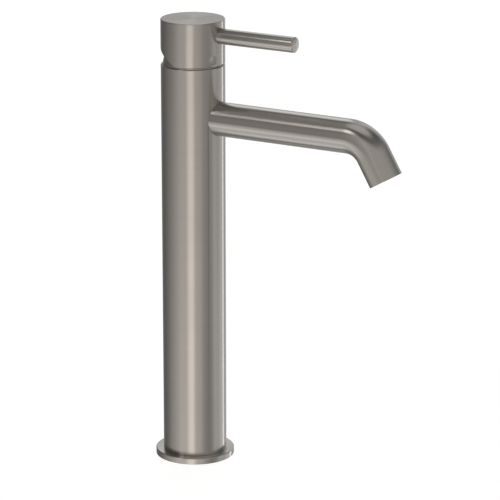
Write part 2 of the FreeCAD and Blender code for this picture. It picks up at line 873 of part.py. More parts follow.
def make_disc_carrier():
    """The driver on the moving disc, with a square pocket for the stem's ball."""
    body = turned(
        "disc_carrier",
        rectangle("0", "moving_disc_radius", "moving_disc_top", "moving_disc_top + carrier_foot"),
    )
    half = "carrier_width / 2"
    block = rectangle("-" + half, half, "-" + half, half)
    pad(body, "block", "XY_Plane", [block], "moving_disc_top", "carrier_top - moving_disc_top")
    side = "carrier_pocket"
    hollow = rectangle("-" + side, side, "-" + side, side)
    pocket(body, "ball_pocket", "XY_Plane", [hollow], "ball_height - " + side, "cartridge_depth")


def make_cartridge_housing():
    """The moulded housing: a wide skirt over the discs and a neck round the turning bush."""
    turned(
        "cartridge_housing",
        [
            ("housing_bore", "base_rim_top"),
            ("cartridge_radius", "base_rim_top"),
            ("cartridge_radius", "housing_shoulder"),
            ("housing_neck_radius", "housing_shoulder"),
            ("housing_neck_radius", "housing_top - chamfer"),
            ("housing_neck_radius - chamfer", "housing_top"),
            ("housing_neck_bore", "housing_top"),
            ("housing_neck_bore", "housing_ceiling"),
            ("housing_bore", "housing_ceiling"),
        ],
    )


def make_stem_rotor():
    """The turning bush: a flange inside the housing, a slotted neck and two driving lugs."""
    body = turned(
        "stem_rotor",
        [
            ("0", "rotor_bottom"),
            ("rotor_flange_radius", "rotor_bottom"),
            ("rotor_flange_radius", "rotor_flange_top"),
            ("rotor_radius", "rotor_flange_top"),
            ("rotor_radius", "rotor_top - chamfer"),
            ("rotor_radius - chamfer", "rotor_top"),
            ("0", "rotor_top"),
        ],
    )
    half = "lug_length / 2"
    outer = "lug_inner + lug_thickness"
    lugs = [
        rectangle("-" + half, half, "lug_inner", outer),
        rectangle("-" + half, half, "-(" + outer + ")", "-lug_inner"),
    ]
    pad(body, "lugs", "XY_Plane", lugs, "lug_bottom", "rotor_flange_top - lug_bottom - chamfer")
    cheek = "(stem_half + slip_fit)"
    slot = rectangle("-slot_half", "slot_half", "-" + cheek, cheek)
    pocket(body, "slot", "XY_Plane", [slot], "rotor_bottom - overrun",
           "rotor_top - rotor_bottom + 2 * overrun")
    pin = ("0", "pivot", "pin_diameter / 2")
    pocket(body, "pin_hole", "XZ_Plane", [pin], "0", "rotor_diameter + 2 * overrun", both=True)


def make_pivot_pin():
    body = turned(
        "pivot_pin",
        rectangle("-pin_half", "pin_half", "0", "pin_diameter / 2"),
        axis="Y",
    )
    raise_to(body, "pivot")


def make_cartridge_nut():
    """The ring nut in the cup's mouth: a threaded ring below a hexagon."""
    body = turned(
        "cartridge_nut", rectangle("nut_bore", "nut_radius", "housing_shoulder", "cup_top")
    )
    faces = [hexagon("0", "0", "nut_flats"), ("0", "0", "nut_bore")]
    pad(body, "hexagon", "XY_Plane", faces, "cup_top", "nut_hexagon")


def make_bonnet_dome():
    """The bonnet: a sphere about the stem's pivot, so that the tilting cap just clears it."""
    turned(
        "bonnet_dome",
        [
            ("dome_thread_radius", "dome_bottom"),
            ("dome_radius", "dome_bottom"),
            ("dome_radius", "pivot", "dome_radius", "left"),
            ("dome_edge", "dome_top"),
            ("dome_mouth", "dome_top"),
            ("dome_thread_radius", "dome_bore_top"),
        ],
    )


# ---------------------------------------------------------------- handle


def make_lever_stem():
    """The stem: a ball end below the pivot and a square shank up into the cap."""
    neck = "stem_neck / 2"
    drop = "sqrt(ball_radius ^ 2 - (" + neck + ") ^ 2)"
    body = turned(
        "lever_stem",
        [
            ("0", "ball_height - ball_radius", "ball_radius", "left"),
            (neck, "ball_height + " + drop),
            (neck, "pivot - stem_below_pivot + overrun"),
            ("0", "pivot - stem_below_pivot + overrun"),
        ],
    )
    shank = rectangle("-stem_half", "stem_half", "-stem_half", "stem_half")
    pad(body, "shank", "XY_Plane", [shank], "pivot - stem_below_pivot",
        "stem_top - pivot + stem_below_pivot")
    pin = ("0", "pivot", "pin_diameter / 2 + bearing_fit")
    pocket(body, "pin_hole", "XZ_Plane", [pin], "0", "stem_width + 2 * overrun", both=True)


def make_handle_cap():
    """The cap: a thick top over a thin skirt, cut away behind so that it can tilt back."""
    body = turned(
        "handle_cap",
        [
            ("0", "front_ceiling"),
            ("cap_cavity", "front_ceiling"),
            ("cap_cavity", "cap_bottom"),
            ("body_radius - edge_break", "cap_bottom"),
            ("body_radius", "cap_bottom + edge_break"),
            ("body_radius", "total_height - edge_break"),
            ("body_radius - edge_break", "total_height"),
            ("0", "total_height"),
        ],
    )
    edge = "sqrt(cap_cavity ^ 2 - ceiling_step ^ 2)"
    rear = [
        ("ceiling_step", edge, "cap_cavity", "left"),
        ("-cap_cavity", "0", "cap_cavity", "left"),
        ("ceiling_step", "-" + edge),
    ]
    pocket(body, "rear_hollow", "XY_Plane", [rear], "front_ceiling - overrun",
           "rear_ceiling - front_ceiling + overrun")
    square = rectangle("-socket_half", "socket_half", "-socket_half", "socket_half")
    pocket(body, "stem_socket", "XY_Plane", [square], "front_ceiling - overrun",
           "socket_top - front_ceiling + overrun")
    thread = ("0", "lever_height", "lever_thread")
    pocket(body, "lever_thread", "YZ_Plane", [thread], "0", "body_radius")
    seat = ("0", "lever_height", "lever_radius + slip_fit / 2")
    pocket(body, "lever_seat", "YZ_Plane", [seat], "lever_root", "body_radius")
    notch = [
        ("-notch_start", "cap_bottom - overrun"),
        ("-notch_start", "cap_bottom"),
        ("-notch_back", "notch_top"),
        ("-notch_back", "cap_bottom - overrun"),
    ]
    pocket(body, "notch", "XZ_Plane", [notch], "0", "2 * notch_back", both=True)
    cut_button_hole(body)


def cut_button_hole(body):
    """The round hole for the button, on a plane turned about Z to the button's side."""
    sketch = new_sketch(body, "YZ_Plane", "button_sketch")
    turn = FreeCAD.Rotation(FreeCAD.Vector(0, -1, 0), value("button_angle"))
    sketch.AttachmentOffset = FreeCAD.Placement(FreeCAD.Vector(0, 0, 0), turn)
    sketch.setExpression("AttachmentOffset.Rotation.Angle", formula("button_angle"))
    draw(sketch, [("0", "button_height", "button_radius + slip_fit / 2")])
    hole = body.newObject("PartDesign::Pocket", "handle_cap_button_hole")
    hole.Profile = sketch
    hole.setExpression("Length", formula("body_radius + overrun"))
    hole.Reversed = True
    sketch.Visibility = False


def make_lever_rod():
    """The pin lever, with a broken rim at its tip and a threaded hole at its root."""
    body = turned(
        "lever_rod",
        [
            ("lever_root + slip_fit", "lever_thread"),
            ("lever_root + slip_fit", "lever_radius - edge_break / 2"),
            ("lever_root + slip_fit + edge_break / 2", "lever_radius"),
            ("lever_reach - lever_tip_chamfer", "lever_radius"),
            ("lever_reach", "lever_radius - lever_tip_chamfer"),
            ("lever_reach", "0"),
            ("stud_end + stud_end_gap", "0"),
            ("stud_end + stud_end_gap", "lever_thread"),
        ],
        axis="X",
    )
    raise_to(body, "lever_height")


def make_lever_stud():
    body = turned(
        "lever_stud",
        [
            ("stud_start", "0"),
            ("stud_end", "0"),
            ("stud_end", "stud_radius - chamfer"),
            ("stud_end - chamfer", "stud_radius"),
            ("stud_start + chamfer", "stud_radius"),
            ("stud_start", "stud_radius - chamfer"),
        ],
        axis="X",
    )
    raise_to(body, "lever_height")


def make_grub_screw():
    """The socket screw behind the lever's stud, which clamps the cap to the stem."""
    body = turned(
        "grub_screw",
        [
            ("grub_tip", "0"),
            ("grub_head", "0"),
            ("grub_head", "stud_radius - chamfer"),
            ("grub_head - chamfer", "stud_radius"),
            ("grub_tip + chamfer", "stud_radius"),
            ("grub_tip", "stud_radius - chamfer"),
        ],
        axis="X",
    )
    socket = hexagon("0", "0", "grub_socket")
    pocket(body, "socket", "YZ_Plane", [socket], "grub_head - grub_socket_depth", "grub_length")
    raise_to(body, "lever_height")


def make_index_button():
    """The small plain button pressed into the skirt beside the lever."""
    rim = "button_face - edge_break"
    body = turned(
        "index_button",
        [
            ("button_back", "0"),
            ("button_face", "0"),
            ("button_face", "button_radius - edge_break"),
            (rim, "button_radius"),
            ("button_back", "button_radius"),
        ],
        axis="X",
    )
    turn = FreeCAD.Rotation(FreeCAD.Vector(0, 0, -1), value("button_angle"))
    body.Placement = FreeCAD.Placement(FreeCAD.Vector(0, 0, 0), turn)
    body.setExpression("Placement.Rotation.Angle", formula("button_angle"))
    raise_to(body, "button_height")


# ---------------------------------------------------------------- build and export

MAKERS = [
    make_body_tube,
    make_base_flange,
    make_deck_seal,
    make_foot_block,
    make_body_orings,
    make_risers,
    make_riser_seals,
    make_valve_block,
    make_spout_nipple,
    make_spout_oring,
    make_spout_tube,
    make_aerator_housing,
    make_aerator_seal,
    make_aerator_insert,
    make_flow_plate,
    make_cartridge_base,
    make_cartridge_seals,
    make_fixed_disc,
    make_moving_disc,
    make_disc_carrier,
    make_cartridge_housing,
    make_stem_rotor,
    make_pivot_pin,
    make_cartridge_nut,
    make_bonnet_dome,
    make_lever_stem,
    make_handle_cap,
    make_lever_rod,
    make_lever_stud,
    make_grub_screw,
    make_index_button,
]


def check_document():
    """Stops if any object failed or any piece has no valid solid."""
    for item in doc.Objects:
        if "Invalid" in item.State or "Error" in item.State:
            raise RuntimeError(item.Label + " failed: " + ", ".join(item.State))
    for name, piece in pieces.items():
        if piece.Shape.isNull() or not piece.Shape.isValid() or not piece.Shape.Solids:
            raise RuntimeError(name + " has no valid solid")


def export_pieces():
    os.makedirs("parts", exist_ok=True)
    for name, piece in pieces.items():
        piece.Shape.exportStep("parts/" + name + ".step")
        box = piece.Shape.BoundBox
        print(
            "%-18s %d solid(s) %9.1f mm3  x %7.2f %7.2f  y %7.2f %7.2f  z %7.2f %7.2f"
            % (name, len(piece.Shape.Solids), piece.Shape.Volume, box.XMin, box.XMax, box.YMin,
               box.YMax, box.ZMin, box.ZMax)
        )


fill_sheet()
for make in MAKERS:
    make()
doc.recompute()
check_document()
export_pieces()
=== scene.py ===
"""Looks of a tall single-lever basin mixer: its finishes, fine shapes, floor, light and camera.

Sizes are in metres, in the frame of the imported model: +Z up the column, +X along the spout and
the lever, and the origin in the middle of the foot's underside.
"""

import json
import math

import bpy
import numpy as np
from mathutils import Matrix, Vector


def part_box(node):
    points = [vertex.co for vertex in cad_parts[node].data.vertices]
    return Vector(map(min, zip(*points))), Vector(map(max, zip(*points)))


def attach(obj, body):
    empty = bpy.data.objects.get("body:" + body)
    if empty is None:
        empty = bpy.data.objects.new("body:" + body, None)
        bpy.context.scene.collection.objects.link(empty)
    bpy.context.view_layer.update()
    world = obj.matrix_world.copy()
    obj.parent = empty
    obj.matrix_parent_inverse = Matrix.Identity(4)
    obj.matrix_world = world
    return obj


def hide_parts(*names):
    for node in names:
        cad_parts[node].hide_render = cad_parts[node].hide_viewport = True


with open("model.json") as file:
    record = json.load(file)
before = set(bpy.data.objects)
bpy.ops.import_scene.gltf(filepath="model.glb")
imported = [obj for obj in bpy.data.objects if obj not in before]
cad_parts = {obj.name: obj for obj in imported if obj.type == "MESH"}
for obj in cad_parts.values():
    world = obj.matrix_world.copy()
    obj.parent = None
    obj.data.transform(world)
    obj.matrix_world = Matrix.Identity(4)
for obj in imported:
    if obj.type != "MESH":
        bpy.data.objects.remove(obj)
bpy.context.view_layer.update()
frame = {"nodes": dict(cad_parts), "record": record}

MM = 0.001

# The camera stands where the photograph's did. Its turn is in degrees, lens and sensor in mm.
CAMERA_PLACE = (0.99189, -1.66741, 0.71398)
CAMERA_TURN = (73.82, 0.0, 29.58)
CAMERA_LENS = 205.667
CAMERA_SENSOR = 36.0
CAMERA_NEAR = 0.05
CAMERA_FAR = 50.0

# Spout: the bend starts here, turns down by this much, and ends in a short straight.
SPOUT_BEND_START = 122.4 * MM
SPOUT_BEND_RADIUS = 22 * MM
SPOUT_BEND_ANGLE = math.radians(60)
SPOUT_END_LENGTH = 19.2 * MM
SPOUT_WALL = 1.6 * MM
SPOUT_RIM_ROUND = 0.35 * MM
ROOT_CLEARANCE = 0.05 * MM

# Lever: the round of its rims and the clearance of its threaded hole
LEVER_TIP_ROUND = 0.8 * MM
LEVER_ROOT_ROUND = 0.3 * MM
THREAD_CLEARANCE = 0.05 * MM
STUD_END_GAP = 1 * MM

# Index button: where it sits round the cap, and its slightly dished face
BUTTON_ANGLE = math.radians(-22)
BUTTON_BACK = 21.45 * MM
BUTTON_RIM = 22.28 * MM
BUTTON_DISH = 0.18 * MM
BUTTON_RIM_ROUND = 0.15 * MM

# Fineness of the new pieces: sides round a turned form, and steps along each stretch or round
SIDES = 160
STRAIGHT_STEPS = 40
BEND_STEPS = 36
END_STEPS = 8
DISH_STEPS = 8
ROUND_STEPS = 5
RIM_STEPS = 4
TIP_STEPS = 7
SHARP_ANGLE = math.radians(35)

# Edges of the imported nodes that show. The softer ones meet at the seam under the cap.
ROUNDED = {"body_tube", "base_flange", "handle_cap", "bonnet_dome", "aerator_housing"}
SOFT_EDGED = {"body_tube", "handle_cap"}
EDGE_BEVEL = 0.14 * MM
SOFT_BEVEL = 0.18 * MM
BEVEL_SEGMENTS = 2
BEVEL_ANGLE = math.radians(30)
WELD_DISTANCE = 0.001 * MM
NORMAL_WEIGHT = 50

# The axis that a node is turned about, where it isn't Z
X, Y, Z = 0, 1, 2
TURNED_ABOUT = {"lever_rod": X, "lever_stud": X, "grub_screw": X, "spout_nipple": X,
                "spout_oring": X, "pivot_pin": Y}

# Noises of the finishes: how often each repeats per metre, along the three axes of its vector
HAIRLINES = (45, 45, 5200)
BANDS = (30, 30, 700)
DRIFT = (35, 35, 35)
TOOL_MARKS = (60, 60, 2600)
TARNISH = (180, 180, 180)
CLOUD = (120, 120, 120)
SPECKLE = (160, 160, 160)

# The middle of a noise's range, and the weight of the bands beside the hairlines
NOISE_LOW = 0.3
NOISE_HIGH = 0.7
BAND_SHARE = 0.5

# How far a finish's tone and roughness run, and the strength and depth of its relief
BRUSHED_TONES = (0.97, 1.03)
MACHINED_TONES = (0.82, 1.06)
MOULDED_TONES = (0.92, 1.04)
BRUSHED_ROUGH = 0.015
MACHINED_ROUGH = 0.06
MOULDED_ROUGH = 0.05
HAIRLINE_RELIEF = (0.06, 0.02 * MM)
TOOL_MARK_RELIEF = (0.2, 0.03 * MM)
GRIT_STRENGTH = 0.25
QUARTER_TURN = 0.25

# Sockets of a Mix node that mixes colours
MIX_FIRST = 6
MIX_SECOND = 7
MIX_RESULT = 2

# The brushed metal's colour, in linear light
NICKEL = (0.60, 0.57, 0.54)

# The floor, which lies just under the foot and glows so that it stays nearly white
FLOOR_REACH = 6.0
FLOOR_DROP = 0.2 * MM
FLOOR_GREY = (0.3, 0.3, 0.3, 1.0)
FLOOR_GLOW = 0.90
FLOOR_ROUGH = (0.62, 0.66)
WHITE = (1.0, 1.0, 1.0, 1.0)

# Soft panels of the studio, in degrees. Azimuth 0 faces the front, as seen along +Y, and 90 the
# spout's side. Around them the studio is dim.
WARM = (1.05, 1.0, 0.93)
PLAIN = (0.99, 1.0, 0.99)
DIM = (0.125, 0.125, 0.125)
PANELS = [
    # azimuth, elevation, half width, half height, soft width, soft height, brightness, tint
    # In front, below the horizon
    (-36, -20, 5, 4, 10, 6, 0.06, WARM),
    (-25, -48, 40, 10, 24, 20, 0.47, PLAIN),
    (-10, -22, 12, 7, 95, 12, 0.19, WARM),
    (-10, -26, 12, 8, 95, 12, 0.13, WARM),
    (-10, -32, 12, 8, 14, 12, 0.14, WARM),
    (19, -20, 4, 8, 15, 16, 0.36, WARM),
    (38, -30, 12, 8, 30, 20, 0.26, WARM),
    # In front, above the horizon
    (-52, 52, 14, 6, 14, 12, 0.12, WARM),
    (-25, 43, 3, 3, 8, 10, 2.30, WARM),
    (-12, 12, 12, 12, 20, 12, 0.13, WARM),
    (50, 10, 60, 22, 30, 16, 0.12, WARM),
    (52, 22, 36, 10, 28, 16, 0.20, WARM),
    # On the spout's side and round to the back
    (82, -16, 4, 10, 16, 10, 0.06, WARM),
    (124, -28, 10, 10, 30, 16, 0.35, PLAIN),
    (130, -48, 50, 8, 25, 16, 0.10, PLAIN),
    (142, 20, 26, 12, 22, 14, 0.10, PLAIN),
    (160, -12, 2, 12, 5, 12, 1.00, PLAIN),
    (178, -34, 30, 14, 22, 22, 0.33, PLAIN),
    (178, 32, 8, 26, 16, 16, 0.23, PLAIN),
    # At the back, on the side away from the spout
    (-163, 24, 12, 30, 12, 14, 0.29, PLAIN),
    (-152, -6, 6, 6, 12, 10, 0.40, PLAIN),
    (-143, 37, 5, 12, 7, 9, 0.66, PLAIN),
    (-134, 0, 8, 50, 26, 16, 0.06, PLAIN),
    # Straight below and straight above
    (0, -85, 180, 20, 1, 20, 0.33, PLAIN),
    (0, 85, 180, 12, 1, 14, 0.40, WARM),
]


# ---------------------------------------------------------------- nodes of a material


def new_material(name):
    material = bpy.data.materials.new(name)
    material.use_nodes = True
    tree = material.node_tree
    return material, tree, tree.nodes["Principled BSDF"]


def add(tree, kind, inputs=None, **settings):
    """A node with its settings; an input is a number, a colour or another node's output."""
    made = tree.nodes.new("ShaderNode" + kind)
    for key, setting in settings.items():
        setattr(made, key, setting)
    for key, given in (inputs or {}).items():
        if isinstance(given, bpy.types.NodeSocket):
            tree.links.new(given, made.inputs[key])
        else:
            made.inputs[key].default_value = given
    return made


def math_node(tree, operation, first, second=0.0):
    return add(tree, "Math", {0: first, 1: second}, operation=operation).outputs[0]


def noise(tree, vector, scale, detail=2.0, rough=0.5):
    """A noise whose features repeat scale times per metre along each of the vector's axes."""
    stretched = add(tree, "VectorMath", {0: vector, 1: scale}, operation="MULTIPLY")
    inputs = {"Vector": stretched.outputs[0], "Scale": 1.0, "Detail": detail, "Roughness": rough}
    return add(tree, "TexNoise", inputs).outputs["Fac"]


def spread(tree, factor, low, high, start=NOISE_LOW, end=NOISE_HIGH):
    """The noise's middle range spread from low to high."""
    inputs = {"Value": factor, "From Min": start, "From Max": end, "To Min": low, "To Max": high}
    return add(tree, "MapRange", inputs).outputs["Result"]


def shade(colour, factor):
    return tuple(min(part * factor, 1.0) for part in colour) + (1.0,)


def tone_between(tree, shader, colour, tones, factor):
    """The colour runs from a darker to a lighter shade of itself as the factor goes to 1."""
    mixed = add(tree, "Mix", data_type="RGBA")
    tree.links.new(factor, mixed.inputs["Factor"])
    mixed.inputs[MIX_FIRST].default_value = shade(colour, tones[0])
    mixed.inputs[MIX_SECOND].default_value = shade(colour, tones[1])
    tree.links.new(mixed.outputs[MIX_RESULT], shader.inputs["Base Color"])


def relief(tree, shader, height, strength, depth):
    bump = add(tree, "Bump", {"Strength": strength, "Distance": depth, "Height": height})
    tree.links.new(bump.outputs["Normal"], shader.inputs["Normal"])


# ---------------------------------------------------------------- finishes


def brushed(name, colour, roughness, anisotropy=0.8, tangent=None):
    """Metal brushed round its axis: hairlines, faint bands and a slow drift of roughness."""
    material, tree, shader = new_material(name)
    grain = add(tree, "Attribute", attribute_name="grain").outputs["Vector"]
    hairlines = noise(tree, grain, HAIRLINES, detail=3.0, rough=0.6)
    bands = noise(tree, grain, BANDS)
    drift = noise(tree, grain, DRIFT)
    tone = add(tree, "Math", {0: bands, 1: BAND_SHARE, 2: hairlines}, operation="MULTIPLY_ADD")
    both = 1 + BAND_SHARE
    factor = spread(tree, tone.outputs[0], 0.0, 1.0, NOISE_LOW * both, NOISE_HIGH * both)
    tone_between(tree, shader, colour, BRUSHED_TONES, factor)
    rough = spread(tree, drift, roughness - BRUSHED_ROUGH, roughness + BRUSHED_ROUGH)
    streak = spread(tree, hairlines, -BRUSHED_ROUGH, BRUSHED_ROUGH)
    tree.links.new(math_node(tree, "ADD", rough, streak), shader.inputs["Roughness"])
    relief(tree, shader, hairlines, *HAIRLINE_RELIEF)
    shader.inputs["Metallic"].default_value = 1.0
    shader.inputs["Anisotropic"].default_value = anisotropy
    shader.inputs["Anisotropic Rotation"].default_value = QUARTER_TURN
    if tangent:
        way = add(tree, "Tangent", **tangent)
        tree.links.new(way.outputs["Tangent"], shader.inputs["Tangent"])
    return material


def machined(name, colour, roughness):
    """Turned or drawn metal inside the mixer: fine tool marks and a little tarnish."""
    material, tree, shader = new_material(name)
    grain = add(tree, "Attribute", attribute_name="grain").outputs["Vector"]
    marks = noise(tree, grain, TOOL_MARKS)
    patches = noise(tree, grain, TARNISH, detail=4.0)
    tone_between(tree, shader, colour, MACHINED_TONES, spread(tree, patches, 0.0, 1.0))
    rough = spread(tree, marks, roughness - MACHINED_ROUGH, roughness + MACHINED_ROUGH)
    tree.links.new(rough, shader.inputs["Roughness"])
    relief(tree, shader, marks, *TOOL_MARK_RELIEF)
    shader.inputs["Metallic"].default_value = 1.0
    return material


def moulded(name, colour, roughness, fineness, depth, specular=0.5):
    """Plastic, rubber or ceramic: a fine grit in its surface and a faint change of tone."""
    material, tree, shader = new_material(name)
    place = add(tree, "TexCoord").outputs["Object"]
    grit = noise(tree, place, (fineness,) * 3, detail=3.0)
    cloud = noise(tree, place, CLOUD)
    tone_between(tree, shader, colour, MOULDED_TONES, spread(tree, cloud, 0.0, 1.0))
    rough = spread(tree, grit, roughness - MOULDED_ROUGH, roughness + MOULDED_ROUGH)
    tree.links.new(rough, shader.inputs["Roughness"])
    relief(tree, shader, grit, GRIT_STRENGTH, depth)
    shader.inputs["Specular IOR Level"].default_value = specular
    return material


ROUND_LEVER = {"direction_type": "RADIAL", "axis": "X"}
ROUND_SPOUT = {"direction_type": "UV_MAP", "uv_map": "around"}

# Each has its name, colour and roughness, and a moulded one how fine and how deep its grit is.
finishes = {
    "brushed_body": brushed("brushed_body", NICKEL, 0.20),
    "brushed_spout": brushed("brushed_spout", NICKEL, 0.20, tangent=ROUND_SPOUT),
    "brushed_cap": brushed("brushed_cap", NICKEL, 0.20),
    "brushed_lever": brushed("brushed_lever", NICKEL, 0.20, tangent=ROUND_LEVER),
    "brushed_bonnet": brushed("brushed_bonnet", NICKEL, 0.22),
    "button_metal": brushed("button_metal", NICKEL, 0.26, anisotropy=0.3),
    "steel": machined("steel", (0.56, 0.56, 0.57), 0.28),
    "brass": machined("brass", (0.78, 0.58, 0.30), 0.30),
    "copper": machined("copper", (0.80, 0.45, 0.32), 0.26),
    "dark_chrome": machined("dark_chrome", (0.32, 0.32, 0.33), 0.22),
    "ceramic": moulded("ceramic", (0.86, 0.85, 0.81), 0.25, 2500, 0.01 * MM),
    "white_plastic": moulded("white_plastic", (0.80, 0.80, 0.78), 0.42, 3000, 0.03 * MM),
    "black_plastic": moulded("black_plastic", (0.035, 0.035, 0.038), 0.45, 3000, 0.03 * MM),
    "seal_rubber": moulded("seal_rubber", (0.02, 0.02, 0.02), 0.72, 2200, 0.05 * MM, specular=0.35),
}


# ---------------------------------------------------------------- meshes


def centre_of(node):
    low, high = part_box(node)
    return (low + high) / 2


def set_grain(mesh, axis, centre):
    """Where each point lies round the axis, and how far across the brushing lines it is."""
    points = np.array([v.co for v in mesh.vertices]).reshape(-1, 3) - np.array(centre)
    across = [X, Y, Z]
    across.remove(axis)
    first, second = points[:, across[0]], points[:, across[1]]
    lines = points[:, axis] - np.hypot(first, second)
    write_grain(mesh, np.stack([first, second, lines], axis=1))


def write_grain(mesh, values):
    attribute = mesh.attributes.new("grain", "FLOAT_VECTOR", "POINT")
    attribute.data.foreach_set("vector", values.astype(np.float32).ravel())


def mesh_object(name, vertices, faces, body, slot, node):
    """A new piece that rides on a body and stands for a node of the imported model."""
    mesh = bpy.data.meshes.new(name)
    mesh.from_pydata(vertices, [], faces)
    mesh.update()
    mesh.shade_smooth()
    piece = bpy.data.objects.new(name, mesh)
    bpy.context.scene.collection.objects.link(piece)
    mesh.materials.append(finishes[slot])
    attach(piece, body)
    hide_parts(node)
    return piece


def finish_faces(mesh):
    """Turns the faces round if a negative volume shows them inside out, and marks sharp edges."""
    volume = 0.0
    for polygon in mesh.polygons:
        corners = [mesh.vertices[i].co for i in polygon.vertices]
        for number in range(1, len(corners) - 1):
            volume += corners[0].dot(corners[number].cross(corners[number + 1]))
    if volume < 0:
        mesh.flip_normals()
    mesh.set_sharp_from_angle(angle=SHARP_ANGLE)


def round_corner(centre, radius, start, end, steps=ROUND_STEPS):
    """Points on an arc in the section's plane; angles in degrees from the first axis."""
    angles = [math.radians(start + (end - start) * step / steps) for step in range(steps + 1)]
    return [(centre[0] + radius * math.cos(a), centre[1] + radius * math.sin(a)) for a in angles]


# ---------------------------------------------------------------- spout


def spout_path():
    """Places along the spout's centre line: point, turn downwards, and length so far."""
    low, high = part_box("spout_tube")
    height = high.z - (high.y - low.y) / 2
    steps = []
    straight = SPOUT_BEND_START - low.x
    for count in range(STRAIGHT_STEPS + 1):
        share = count / STRAIGHT_STEPS
        steps.append((Vector((low.x + straight * share, 0, height)), 0.0, straight * share))
    centre = Vector((SPOUT_BEND_START, 0, height - SPOUT_BEND_RADIUS))
    bend = SPOUT_BEND_RADIUS * SPOUT_BEND_ANGLE
    for count in range(1, BEND_STEPS + 1):
        turn = SPOUT_BEND_ANGLE * count / BEND_STEPS
        offset = Vector((math.sin(turn), 0, math.cos(turn))) * SPOUT_BEND_RADIUS
        steps.append((centre + offset, turn, straight + bend * count / BEND_STEPS))
    last = steps[-1][0]
    way = Vector((math.cos(SPOUT_BEND_ANGLE), 0, -math.sin(SPOUT_BEND_ANGLE)))
    for count in range(1, END_STEPS + 1):
        length = (SPOUT_END_LENGTH - SPOUT_RIM_ROUND) * count / END_STEPS
        steps.append((last + way * length, SPOUT_BEND_ANGLE, straight + bend + length))
    return steps


def spout_rings(outer):
    """Rings of the outer wall, the rounded rim and the inner wall: place, turn, radius, length."""
    inner = outer - SPOUT_WALL
    path = spout_path()
    rings = [(point, turn, outer, length) for point, turn, length in path]
    end, turn, length = path[-1]
    way = Vector((math.cos(turn), 0, -math.sin(turn)))
    middles = (outer - SPOUT_RIM_ROUND, inner + SPOUT_RIM_ROUND)
    for middle, start in zip(middles, (0, 90)):
        for across, along in round_corner((0, 0), SPOUT_RIM_ROUND, start, start + 90, RIM_STEPS):
            rings.append((end + way * along, turn, middle + across, length + along))
    rings += [(point, turn, inner, length) for point, turn, length in reversed(path)]
    return rings


def make_spout():
    """The spout as one clean sweep: outer wall, rounded rim, inner wall and root face."""
    low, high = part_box("spout_tube")
    outer = (high.y - low.y) / 2
    rings = spout_rings(outer)
    block_low, block_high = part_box("valve_block")
    seat = (block_high.y - block_low.y) / 2 + ROOT_CLEARANCE
    vertices, grain, faces, uvs = [], [], [], []
    for place, turn, radius, length in rings:
        up = Vector((math.sin(turn), 0, math.cos(turn)))
        for side in range(SIDES):
            angle = 2 * math.pi * side / SIDES
            offset = up * math.cos(angle) + Vector((0, 1, 0)) * math.sin(angle)
            spot = place + offset * radius
            if length == 0:
                # The root is cut to the valve block's round side, so it fills the column's hole.
                spot.x = min(spot.x, math.sqrt(seat ** 2 - spot.y ** 2))
            vertices.append(spot)
            grain.append((math.cos(angle) * outer, math.sin(angle) * outer, length))
    count = len(rings)
    for ring in range(count):
        after = (ring + 1) % count
        for side in range(SIDES):
            beside = (side + 1) % SIDES
            first = ring * SIDES
            second = after * SIDES
            faces.append((first + side, first + beside, second + beside, second + side))
            left, right = side / SIDES, (side + 1) / SIDES
            near, far = rings[ring][3], rings[after][3]
            uvs += [(left, near), (right, near), (right, far), (left, far)]
    piece = mesh_object("spout_shell", vertices, faces, "root", "brushed_spout", "spout_tube")
    write_grain(piece.data, np.array(grain))
    layer = piece.data.uv_layers.new(name=ROUND_SPOUT["uv_map"])
    layer.data.foreach_set("uv", np.array(uvs, np.float32).ravel())
    finish_faces(piece.data)


# ---------------------------------------------------------------- lever and button


def turned_piece(name, section, centre, body, slot, node, swing=0.0):
    """A piece turned about X, then swung about Z; the section is (place along X, radius)."""
    vertices, faces, rows = [], [], []
    spin = Matrix.Rotation(swing, 3, "Z")
    for along, radius in section:
        # A point on the axis is one vertex, and any other a ring of them.
        count = SIDES if radius else 1
        rows.append(list(range(len(vertices), len(vertices) + count)))
        for side in range(count):
            angle = 2 * math.pi * side / SIDES
            across, up = radius * math.cos(angle), radius * math.sin(angle)
            vertices.append(spin @ Vector((along, centre[Y] + across, centre[Z] + up)))
    for number, row in enumerate(rows):
        after = rows[(number + 1) % len(rows)]
        for side in range(SIDES):
            beside = (side + 1) % SIDES
            corners = [row[side % len(row)], row[beside % len(row)],
                       after[beside % len(after)], after[side % len(after)]]
            unique = list(dict.fromkeys(corners))
            if len(unique) > 2:
                faces.append(unique)
    piece = mesh_object(name, vertices, faces, body, slot, node)
    set_grain(piece.data, X, centre_of(node))
    finish_faces(piece.data)


def make_lever():
    """The pin lever with rounded rims and the hole that its stud is screwed into."""
    low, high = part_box("lever_rod")
    stud_low, stud_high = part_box("lever_stud")
    radius = (high.y - low.y) / 2
    hole = (stud_high.y - stud_low.y) / 2 + THREAD_CLEARANCE
    hole_end = stud_high.x + STUD_END_GAP
    root, tip = low.x, high.x
    section = [(root, hole)]
    section += round_corner(
        (root + LEVER_ROOT_ROUND, radius - LEVER_ROOT_ROUND), LEVER_ROOT_ROUND, 180, 90)
    section += round_corner(
        (tip - LEVER_TIP_ROUND, radius - LEVER_TIP_ROUND), LEVER_TIP_ROUND, 90, 0, TIP_STEPS)
    section += [(tip, 0.0), (hole_end, 0.0), (hole_end, hole)]
    centre = centre_of("lever_rod")
    turned_piece("lever_pin", section, centre, "handle", "brushed_lever", "lever_rod")


